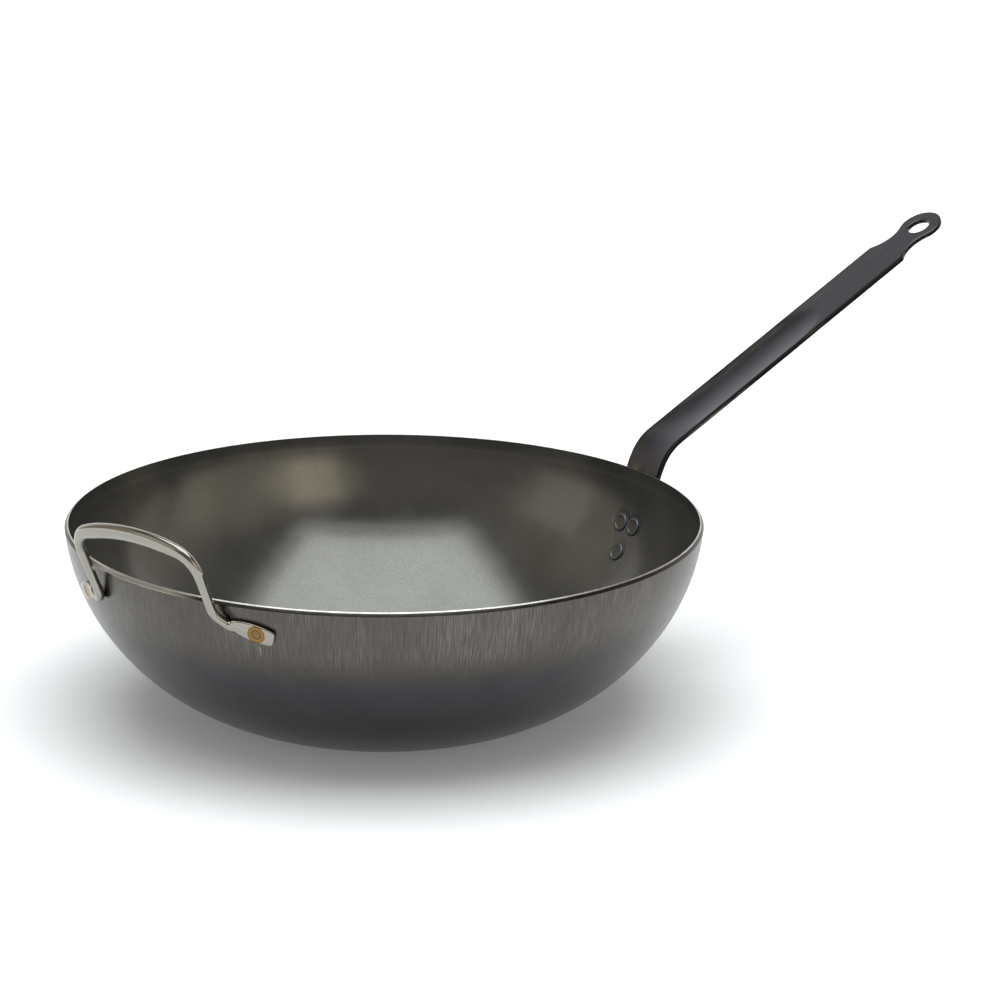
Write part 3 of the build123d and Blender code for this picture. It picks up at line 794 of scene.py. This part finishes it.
def new_metal(name):
    """A finish of bare metal with its node tree, which ends in the shader that Blender gives it."""
    finish = bpy.data.materials.new(name)
    finish.use_nodes = True
    finish.node_tree.nodes["Principled BSDF"].inputs["Metallic"].default_value = 1.0
    return finish, finish.node_tree


def end_metal(tree, colour, roughness, *relief):
    """Ends a finish: its colour, its roughness and, from a strength, a depth and a height between
    0 and 1, its relief."""
    sockets = tree.nodes["Principled BSDF"].inputs
    feed(tree, sockets["Base Color"], colour)
    feed(tree, sockets["Roughness"], roughness)
    if relief:
        strength, depth, height = relief
        feed(tree, sockets["Normal"], add(tree, "Bump", strength, depth, None, height))


# %% [markdown]
# Steel sheet drawn in a press
#
# The bowl is bare carbon steel with a thin dark oxide on it. When the die pulls the sheet in, it
# leaves fine lines that run up the wall, so the outside has streaks a centimetre or two long. They
# are drawn half a millimetre apart, as real ones are finer than the render shows, and some patches
# show them more. On the front of the wall, round a spot that faces the light, the streaks and the
# paler steel are pushed up further: that is a painted sheen. Below the shoulder the sheet was not
# drawn so hard: first it is plain brown, and then smoother and bluer. The streaks are noise on a
# place made of the direction from the middle, which has no seam round the bowl, and of the height.
# The eye gets a brown-grey half gloss that breaks up upright. Under the right weld is a small pale
# scrape, all the places whose ways to its two ends add up to little more than its length.

# %% A place that follows the bowl
def bowl_place(tree, around_size, upright_size):
    """A place for patterns on the bowl, whose steps are one size round the bowl and another up it.
    It is the level direction from the middle times the rim's radius over the first size, plus the
    height over the second."""
    place = add(tree, "TexCoord").outputs["Object"]
    level = add(tree, "VectorMath", place, (1, 1, 0), operation="MULTIPLY")
    direction = add(tree, "VectorMath", level, operation="NORMALIZE")
    around = add(tree, "VectorMath", direction, rim_radius / around_size, operation="SCALE")
    return add(tree, "VectorMath", place, (0, 0, 1 / upright_size), around, operation="MULTIPLY_ADD")


# %% Outside of the bowl
streak_spacing, streak_length = 0.45 * mm, 14 * mm
patch_width, patch_height = 34 * mm, 60 * mm
mottle_size, mottle_shift = 26 * mm, 9 * mm
# A painted sheen: round this spot, where the front of the wall faces the light, the streaks and the paler
# steel are pushed up.
sheen_azimuth, sheen_drop, sheen_reach, sheen_core = radians(-106), 14 * mm, 75 * mm, 20 * mm
sheen_spot = wall_spot(sheen_azimuth, sheen_drop)[0].tolist()
streaks_end, streaks_fade = 88 * mm, 11 * mm
brown_end, brown_fade = 79 * mm, 5 * mm
scrape_drop, scrape_half, scrape_reach, scrape_core = 29 * mm, 3 * mm, 6.5 * mm, 6.15 * mm
outside_finish, tree = new_metal("drawn_steel_outside")
place = add(tree, "TexCoord").outputs["Object"]
height = add(tree, "SeparateXYZ", place).outputs["Z"]
streaks = add(tree, "TexNoise", bowl_place(tree, streak_spacing, streak_length), 1.0, 4.0, 0.62)
patches = add(tree, "TexNoise", bowl_place(tree, patch_width, patch_height), 1.0, 3.0)
mottle = add(tree, "TexNoise", place, 1 / mottle_size, 5.0)
# The mottle shifts the borders up and down, so that they aren't drawn with a ruler.
uneven = add(tree, "Math", mottle, mottle_shift, height, operation="MULTIPLY_ADD")
streaked, brown = (
    add(tree, "MapRange", uneven, end - fade, end + fade, **smooth)
    for end, fade in ((streaks_end, streaks_fade), (brown_end, brown_fade))
)
patch_and_sheen_share = add(tree, "MapRange", patches, 0.4, 0.68, 0.3, 0.85)
# Painted sheen: near its spot the streaks and the paler steel are brought up as a highlight.
sheen_way = add(tree, "VectorMath", place, sheen_spot, operation="DISTANCE")
sheen_share = add(tree, "MapRange", sheen_way, sheen_reach, sheen_core)
patch_and_sheen_share = add(tree, "Math", patch_and_sheen_share, sheen_share, operation="MAXIMUM")
streak_level = add(tree, "MapRange", streaks, 0.42, 0.72)
streak_and_sheen_share = add(tree, "Math", patch_and_sheen_share, streak_level, operation="MULTIPLY")
streak_and_sheen_share = add(tree, "Math", streak_and_sheen_share, streaked, operation="MULTIPLY")
upper = add(tree, "Mix", streak_and_sheen_share, "#524f4c", "#7f7a74", **colours)
lower = add(tree, "Mix", mottle, "#454346", "#555356", **colours)
steel = add(tree, "Mix", brown, lower, upper, **colours)
scrape_azimuth = np.arctan2(right_weld[..., 1], right_weld[..., 0])
scrape_ways = []
for way in (-scrape_half, scrape_half):
    scrape_end = wall_spot(scrape_azimuth, scrape_drop + way)[0].reshape(3).tolist()
    scrape_ways.append(add(tree, "VectorMath", place, scrape_end, operation="DISTANCE"))
scrape = add(tree, "MapRange", add(tree, "Math", *scrape_ways), scrape_reach, scrape_core)
scrape_share = add(tree, "Math", scrape, streak_level, operation="MULTIPLY")
scraped = add(tree, "Mix", scrape_share, steel, "#f2f0ee", **colours)
gloss = add(tree, "MapRange", streak_and_sheen_share, 0.0, 0.8, 0.27, 0.36)
end_metal(tree, scraped, gloss, 0.35, 0.006 * mm, streak_and_sheen_share)
print("streaks every", round(streak_spacing / mm, 2), "mm round the wall")

# %% [markdown]
# The inside of the bowl
#
# The inside was against the punch, and is smoother than the outside, with a thin film of oil baked
# on. Rings from turning and wiping run round the wall, so the noise is drawn out round the bowl
# and packed close up the wall. They end at the flat base, where a direction from the middle would
# turn them into rays. The metal is squeezed and darkened in a ring round each rivet, which the
# measure of the distance from the nearest rivet places. A faint pale band under the rim is a
# painted highlight, where a slight step in the wall catches the light.
# The eye gets a soft mirror: a clear patch of the lamp overhead on the bottom, and a dark wall.

# %% Inside of the bowl
wipe_spacing, wipe_length = 0.9 * mm, 30 * mm
cloud_size, grain_size = 34 * mm, 1.1 * mm
squeezed_radius, squeezed_fade = 7.3 * mm, 0.5 * mm
# A painted highlight: a faint pale band under the rim stands for a slight step in the wall catching the
# light.
step_highlight_drop, step_highlight_half = 8 * mm, 2.2 * mm
rings_from, rings_full = 4 * mm, 12 * mm
inside_finish, tree = new_metal("oiled_steel_inside")
# The baked oil scatters a little light, as bare metal doesn't.
tree.nodes["Principled BSDF"].inputs["Metallic"].default_value = 0.76
place = add(tree, "TexCoord").outputs["Object"]
height = add(tree, "SeparateXYZ", place).outputs["Z"]
wipes = add(tree, "TexNoise", bowl_place(tree, wipe_length, wipe_spacing), 1.0, 3.0)
clouds = add(tree, "TexNoise", place, 1 / cloud_size, 4.0, 0.6)
grain = add(tree, "TexNoise", place, 1 / grain_size, 2.0)
half_clouds = add(tree, "Math", clouds, 0.5, operation="MULTIPLY")
tone = add(tree, "Math", grain, 0.5, half_clouds, operation="MULTIPLY_ADD")
bare = add(tree, "Mix", tone, "#545350", "#81807d", **colours)
# Painted highlight of the step under the rim.
step_highlight_off = add(tree, "Math", height, bowl_height - step_highlight_drop, operation="SUBTRACT")
step_highlight_way = add(tree, "Math", step_highlight_off, operation="ABSOLUTE")
step_highlight = add(tree, "MapRange", step_highlight_way, step_highlight_half, 0.0, 0.0, 0.35, **smooth)
with_step_highlight = add(tree, "Mix", step_highlight, bare, "#8b8981", **colours)
from_rivet = add(tree, "Attribute", attribute_name="rivet_distance").outputs["Fac"]
squeezed_from, squeezed_full = squeezed_radius + squeezed_fade, squeezed_radius - squeezed_fade
squeezed = add(tree, "MapRange", from_rivet, squeezed_from, squeezed_full, **smooth)
oiled = add(tree, "Mix", squeezed, with_step_highlight, "#62666e", **colours)
film = add(tree, "MapRange", clouds, 0.3, 0.7, 0.15, 0.21)
off_base = add(tree, "MapRange", height, rings_from, rings_full)
rings_up = add(tree, "Math", wipes, off_base, operation="MULTIPLY")
end_metal(tree, oiled, film, 0.15, 0.01 * mm, rings_up)
print("inside: rings every", round(wipe_spacing / mm, 1), "mm")

# %% [markdown]
# The ground rim
#
# The rim is cut after the bowl is drawn, and the edge is taken off with a grinder. That leaves
# bright bare steel with short scratches across it, about half a millimetre apart. The oil doesn't
# stay on it, so it is the palest line on the bowl, and the eye reads the sheet's thickness by it.
# The bevel outside it is dark, apart from a stretch beside the loop, which is painted bright as
# a painted highlight, where the bevel catches the light.

# %% Rim of the bowl
grind_spacing, grind_length = 0.45 * mm, 4 * mm
dull_size, dull_height = 14 * mm, 6 * mm
patina_size, patina_height = 9 * mm, 3 * mm
# A painted highlight: the bevel is painted bright round this spot beside the loop, where it catches the
# light.
bevel_glint_azimuth, bevel_glint_reach, bevel_glint_core = radians(-171), 52 * mm, 30 * mm
bevel_glint_spot = (rim_radius * cos(bevel_glint_azimuth), rim_radius * sin(bevel_glint_azimuth), bowl_height)
rim_finish, tree = new_metal("ground_steel_rim")
scratches = add(tree, "TexNoise", bowl_place(tree, grind_spacing, grind_length), 1.0, 2.0)
dull = add(tree, "TexNoise", bowl_place(tree, dull_size, dull_height), 1.0)
scratch_share = add(tree, "MapRange", scratches, 0.35, 0.65)
ground = add(tree, "Mix", scratch_share, "#b5b1a9", "#dad7d0", **colours)
dull_share = add(tree, "MapRange", dull, 0.42, 0.72, 0.0, 0.45)
worn = add(tree, "Mix", dull_share, ground, "#77736c", **colours)
end_metal(tree, worn, 0.32, 0.5, 0.02 * mm, scratches)
bevel_finish, tree = new_metal("darkened_steel_bevel")
place = add(tree, "TexCoord").outputs["Object"]
patina = add(tree, "TexNoise", bowl_place(tree, patina_size, patina_height), 1.0, 3.0)
dark_edge = add(tree, "Mix", patina, "#262422", "#504c47", **colours)
# Painted highlight on the bevel beside the loop.
bevel_glint_way = add(tree, "VectorMath", place, bevel_glint_spot, operation="DISTANCE")
bevel_glint = add(tree, "MapRange", bevel_glint_way, bevel_glint_reach, bevel_glint_core)
end_metal(tree, add(tree, "Mix", bevel_glint, dark_edge, "#bdb9b1", **colours), 0.34)
for finish in (outside_finish, bevel_finish, rim_finish, inside_finish):
    bowl.data.materials.append(finish)
print("bowl finishes", [finish.name for finish in bowl.data.materials])

# %% [markdown]
# The blackened strap
#
# The handle is the same steel, heated and quenched in oil until it is near black with a touch of
# blue. The oxide is thin: it is browner where the heat was lower, by the bend and along one edge,
# and the cut sides are blacker still, with a few pale lines where they rubbed. A narrow band along
# each edge of the faces is painted near black as well: a painted dark reflection in the rounded
# edge. Every point carries its place on the strap laid out flat: along, across and below the top
# face. So the grain runs along the strap round every bend, and the eye follows it.

# %% Strap
def drawn_out(tree, laid, length, width):
    """A place for patterns on a piece laid out flat, in steps of a length along it and a width
    across it and down: each number over its step."""
    return add(tree, "VectorMath", laid, (1 / length, 1 / width, 1 / width), operation="MULTIPLY")


grain_length, grain_width = 40 * mm, 0.8 * mm
tarnish_length, tarnish_width = 30 * mm, 5 * mm
stripe_across, stripe_half = 11.5 * mm, 3 * mm
heat_before, heat_across, heat_reach, heat_core = 44 * mm, 8 * mm, 24 * mm, 8 * mm
heat_spot = (grip_from - heat_before, heat_across, 0)
# A painted dark reflection: a band just inside each rounded edge of the faces is darkened to near black.
edge_reflection_from, edge_reflection_to = half_width - 1.9 * mm, half_width - 1.1 * mm
side_reach, side_core, depth_weight = 1.4 * mm, 0.7 * mm, 8
strap_finish, tree = new_metal("oil_blackened_steel")
laid = add(tree, "Attribute", attribute_name="laid_flat").outputs["Vector"]
across, below = add(tree, "SeparateXYZ", laid).outputs[1:]
grain = add(tree, "TexNoise", drawn_out(tree, laid, grain_length, grain_width), 1.0, 3.0)
tarnish = add(tree, "TexNoise", drawn_out(tree, laid, tarnish_length, tarnish_width), 1.0, 4.0)
black = add(tree, "Mix", grain, "#4b4b50", "#64636a", **colours)
stripe_off = add(tree, "Math", across, stripe_across, operation="SUBTRACT")
stripe_way = add(tree, "Math", stripe_off, operation="ABSOLUTE")
stripe = add(tree, "MapRange", stripe_way, stripe_half, 0.0, **smooth)
tarnished = add(tree, "MapRange", tarnish, 0.42, 0.62)
brown_share = add(tree, "Math", stripe, tarnished, operation="MULTIPLY")
browned = add(tree, "Mix", brown_share, black, "#6a6250", **colours)
# Depth counts several times over, so that the heat's patch stays on the top face.
deepened = add(tree, "VectorMath", laid, (1, 1, depth_weight), operation="MULTIPLY")
heat_way = add(tree, "VectorMath", deepened, heat_spot, operation="DISTANCE")
heated = add(tree, "MapRange", heat_way, heat_reach, heat_core, **smooth)
heat_share = add(tree, "Math", heated, tarnished, operation="MULTIPLY")
heat_brown = add(tree, "Mix", heat_share, browned, "#8a8266", **colours)
side_way = add(tree, "Math", below, strap_thickness / 2, operation="SUBTRACT")
side_off = add(tree, "Math", side_way, operation="ABSOLUTE")
on_side = add(tree, "MapRange", side_off, side_reach, side_core)
# Painted dark reflection along the face edges, joined with the cut sides' own black.
edge_way = add(tree, "Math", across, operation="ABSOLUTE")
lip = add(tree, "MapRange", edge_way, edge_reflection_from, edge_reflection_to, 0.0, 0.9, **smooth)
edge_reflection_and_side_share = add(tree, "Math", lip, on_side, operation="MAXIMUM")
edged = add(tree, "Mix", edge_reflection_and_side_share, heat_brown, "#151412", **colours)
side_line = add(tree, "MapRange", grain, 0.6, 0.68)
line_share = add(tree, "Math", on_side, side_line, operation="MULTIPLY")
lined = add(tree, "Mix", line_share, edged, "#7d7465", **colours)
end_metal(tree, lined, add(tree, "MapRange", tarnish, 0.3, 0.7, 0.2, 0.28), 0.4, 0.02 * mm, grain)
strap.data.materials.append(strap_finish)
print("strap finish", strap_finish.name)

# %% [markdown]
# The rivets
#
# A rivet of mild steel is pressed cold against the sheet. The tool polishes the ring that it
# squeezes and leaves the sunk disc in the middle as it was, so the disc is browner. The distance
# from the rivet's axis tells the two apart, and the eye sees two tones of steel in each head.

# %% Rivets
dent_size, ring_fade = 1.6 * mm, 0.3 * mm
rivet_finish, tree = new_metal("pressed_rivet_steel")
from_axis = add(tree, "Attribute", attribute_name="from_axis").outputs["Fac"]
dents = add(tree, "TexNoise", add(tree, "TexCoord").outputs["Object"], 1 / dent_size, 3.0)
ring_steel = add(tree, "Mix", dents, "#63666c", "#7c8086", **colours)
disc_steel = add(tree, "Mix", dents, "#625f59", "#7b7770", **colours)
on_ring = add(tree, "MapRange", from_axis, inner_disc_radius - ring_fade, inner_disc_radius + ring_fade)
pressed = add(tree, "Mix", on_ring, disc_steel, ring_steel, **colours)
end_metal(tree, pressed, 0.42, 0.4, 0.03 * mm, dents)
for rivet in rivets.values():
    rivet.data.materials.append(rivet_finish)
print("rivets finished", len(rivets))

# %% [markdown]
# The stainless loop
#
# Drawn stainless rod has a satin skin with fine lines along it. The spot welds heat the flattened
# ends until they turn straw and then brown in rings, the oxide of chromium that a cook never quite
# scrubs off. The rod carries its place laid out straight, so the lines follow each bend. They are
# drawn as coarse as they need to show. The rings are worked out from the distance to each weld.
# The eye gets a pale rod with long soft lights, and a brown ring on each flat end.

# %% Loop
line_spacing, line_length = 0.35 * mm, 30 * mm
tint_reach, tint_size, tint_shift = 6.2 * mm, 4 * mm, 0.9 * mm
loop_finish, tree = new_metal("satin_stainless_rod")
laid = add(tree, "Attribute", attribute_name="laid_flat").outputs["Vector"]
lines = add(tree, "TexNoise", drawn_out(tree, laid, line_length, line_spacing), 1.0, 2.0)
satin = add(tree, "Mix", lines, "#85827a", "#aaa7a0", **colours)
place = add(tree, "TexCoord").outputs["Object"]
ways = [add(tree, "VectorMath", place, spot.reshape(3).tolist(), operation="DISTANCE")
        for spot in (left_weld, right_weld)]
from_weld = add(tree, "Math", *ways, operation="MINIMUM")
tint_noise = add(tree, "TexNoise", place, 1 / tint_size, 2.0)
uneven_way = add(tree, "Math", tint_noise, tint_shift, from_weld, operation="MULTIPLY_ADD")
reached = add(tree, "Math", uneven_way, tint_reach, operation="DIVIDE")
rings = add(tree, "ValToRGB", reached)
ring_colours = [(0.0, "#7b6648"), (0.42, "#7a6140"), (0.53, "#5d4225"), (0.64, "#866a45"),
                (0.76, "#8c6c43"), (0.9, "#6f5028"), (0.98, "#a08a66")]
for index, (at, colour) in enumerate(ring_colours):
    ring = rings.color_ramp.elements[index] if index < 2 else rings.color_ramp.elements.new(at)
    ring.position, ring.color = at, linear(colour)
tint_share = add(tree, "MapRange", reached, 1.08, 0.92, **smooth)
tinted = add(tree, "Mix", tint_share, satin, rings, **colours)
end_metal(tree, tinted, add(tree, "MapRange", lines, 0.3, 0.7, 0.1, 0.16), 0.35, 0.008 * mm, lines)
loop.data.materials.append(loop_finish)
print("loop finish", loop_finish.name)

# %% [markdown]
# The studio
#
# The wok stands on a white table with a white wall behind it, under a large soft lamp with a
# dimmer, wider one round it. Metal shows what is round it, so the room has to be there as well: it
# is dim on the camera's side and dimmer higher up, and that makes the inside of the bowl dark. A
# small warm lamp stands to the right of the camera and a faint one to its left, and soft patches of
# light are spilt on the room. The world's colour is white for the camera. For reflections it is
# white at the back, fading upwards, and dim in front. For scattered light it is dim all round, so
# the lamps alone light the shadow.

# %% World
bpy.context.scene.view_settings.view_transform = "Standard"
room_level, high_level, scattered_level = 0.25, 0.1, 0.28
# Each patch of spilt light: its bearing and elevation, its outer and inner reach, and its level.
spills = ((58, 12, 36, 5, 0.3), (29, 20, 23, 5, 0.5), (100, 4, 40, 10, 0.3),
          (-106, 8, 42, 10, 0.1), (-80, 32, 36, 8, 0.17))
world = bpy.data.worlds.new("studio")
bpy.context.scene.world = world
world.use_nodes = True
tree = world.node_tree
sky = add(tree, "TexCoord").outputs["Generated"]
lift = add(tree, "SeparateXYZ", sky).outputs["Z"]
away = (-cos(view_azimuth), -sin(view_azimuth), 0)
facing = add(tree, "VectorMath", sky, away, operation="DOT_PRODUCT")
back_share = add(tree, "MapRange", facing, 0.35, 0.8, **smooth)
low_share, high_share = (
    add(tree, "MapRange", lift, sin(radians(none_at)), sin(radians(all_at)), **smooth)
    for none_at, all_at in ((60, 25), (22, 50))
)
white_share = add(tree, "Math", back_share, low_share, operation="MULTIPLY")
room_colour, high_colour = ((level * 1.1, level, level * 0.88, 1) for level in (room_level, high_level))
room = add(tree, "Mix", high_share, room_colour, high_colour, **colours)
room = add(tree, "Mix", white_share, room, (1, 1, 1, 1), **colours)
for bearing, elevation, reach, core, level in spills:
    way = studio_way(radians(bearing), radians(elevation))
    toward = add(tree, "VectorMath", sky, way, operation="DOT_PRODUCT")
    spill = add(tree, "MapRange", toward, cos(radians(reach)), cos(radians(core)), **smooth)
    warm = (level, level * 0.92, level * 0.7, 1)
    room = add(tree, "Mix", spill, room, warm, **colours, blend_type="ADD")
path = add(tree, "LightPath").outputs
scattered = (scattered_level, scattered_level, scattered_level, 1)
reflected = add(tree, "Mix", path["Is Glossy Ray"], scattered, room, **colours)
seen_through = add(tree, "Math", path["Is Camera Ray"], path["Is Transmission Ray"], operation="MAXIMUM")
seen = add(tree, "Mix", seen_through, reflected, (1, 1, 1, 1), **colours)
feed(tree, tree.nodes["Background"].inputs["Color"], seen)
print("room level", room_level)

# %% Lamps
def soft_lamp(name, bearing, elevation, distance, width, height, brightness, colour):
    """An oblong lamp that faces the middle of the rim, at a bearing and an elevation in degrees.
    Its power is its brightness, as the eye sees its face, times its area times pi."""
    lamp = bpy.data.objects.new(name, bpy.data.lights.new(name, "AREA"))
    bpy.context.scene.collection.objects.link(lamp)
    lamp.data.shape, lamp.data.size, lamp.data.size_y = "RECTANGLE", width, height
    lamp.data.energy = brightness * width * height * pi
    lamp.data.color = linear(colour)[:3]
    way = studio_way(radians(bearing), radians(elevation))
    lamp.location = rim_middle + way * distance
    lamp.rotation_mode = "QUATERNION"
    lamp.rotation_quaternion = way.to_track_quat("Z", "Y")
    lamp.visible_camera = False
    print(name, round(lamp.data.energy, 1), "W")


soft_lamp("overhead_panel", 0, 88, 1.6, 1.75, 1.75, 1.8, "#f6fdff")
soft_lamp("panel_skirt", 0, 84, 1.6, 2.15, 2.15, 0.9, "#f8feff")
soft_lamp("warm_lamp", 29, 20, 2.6, 0.85, 1.2, 0.6, "#fff2d2")
soft_lamp("faint_lamp", -76, 18, 2.6, 1.2, 1.2, 0.3, "#fffaf0")

# %% [markdown]
# The floor
#
# The floor is a plain white sheet. It scatters light as paper does, and gives out a little light
# of its own to the camera and to reflections only, more of it far from the wok, where the lamps
# reach less. So it reads as white, and it is still grey where the bowl keeps the lamps off it.

# %% Floor
floor_half, floor_drop = 20.0, 0.1 * mm
near_glow, middle_glow, far_glow = 0.14, 0.36, 0.9
near_from, near_to, far_from, far_to = 0.13, 0.3, 0.5, 1.6
floor_mesh = bpy.data.meshes.new("floor")
floor_corners = [(across * floor_half, along * floor_half, -floor_drop)
                 for across, along in ((-1, -1), (1, -1), (1, 1), (-1, 1))]
floor_mesh.from_pydata(floor_corners, [], [(0, 1, 2, 3)])
floor = bpy.data.objects.new("floor", floor_mesh)
bpy.context.scene.collection.objects.link(floor)
floor_finish = bpy.data.materials.new("white_paper")
floor_finish.use_nodes = True
tree = floor_finish.node_tree
tree.nodes.remove(tree.nodes["Principled BSDF"])
path = add(tree, "LightPath").outputs
looked_at = add(tree, "Math", path["Is Camera Ray"], path["Is Glossy Ray"], operation="MAXIMUM")
looked_at = add(tree, "Math", looked_at, path["Is Transmission Ray"], operation="MAXIMUM")
from_wok = add(tree, "VectorMath", add(tree, "TexCoord").outputs["Object"], operation="LENGTH")
near_level, far_level = (
    add(tree, "MapRange", from_wok, *levels, **smooth)
    for levels in ((near_from, near_to, near_glow, middle_glow),
                   (far_from, far_to, 0.0, far_glow - middle_glow))
)
glow_level = add(tree, "Math", near_level, far_level)
glow_share = add(tree, "Math", looked_at, glow_level, operation="MULTIPLY")
paper = add(tree, "BsdfDiffuse", (0.88, 0.88, 0.88, 1))
both = add(tree, "AddShader", paper, add(tree, "Emission", None, glow_share))
feed(tree, tree.nodes["Material Output"].inputs["Surface"], both)
floor_mesh.materials.append(floor_finish)
print("floor", 2 * floor_half, "m wide")
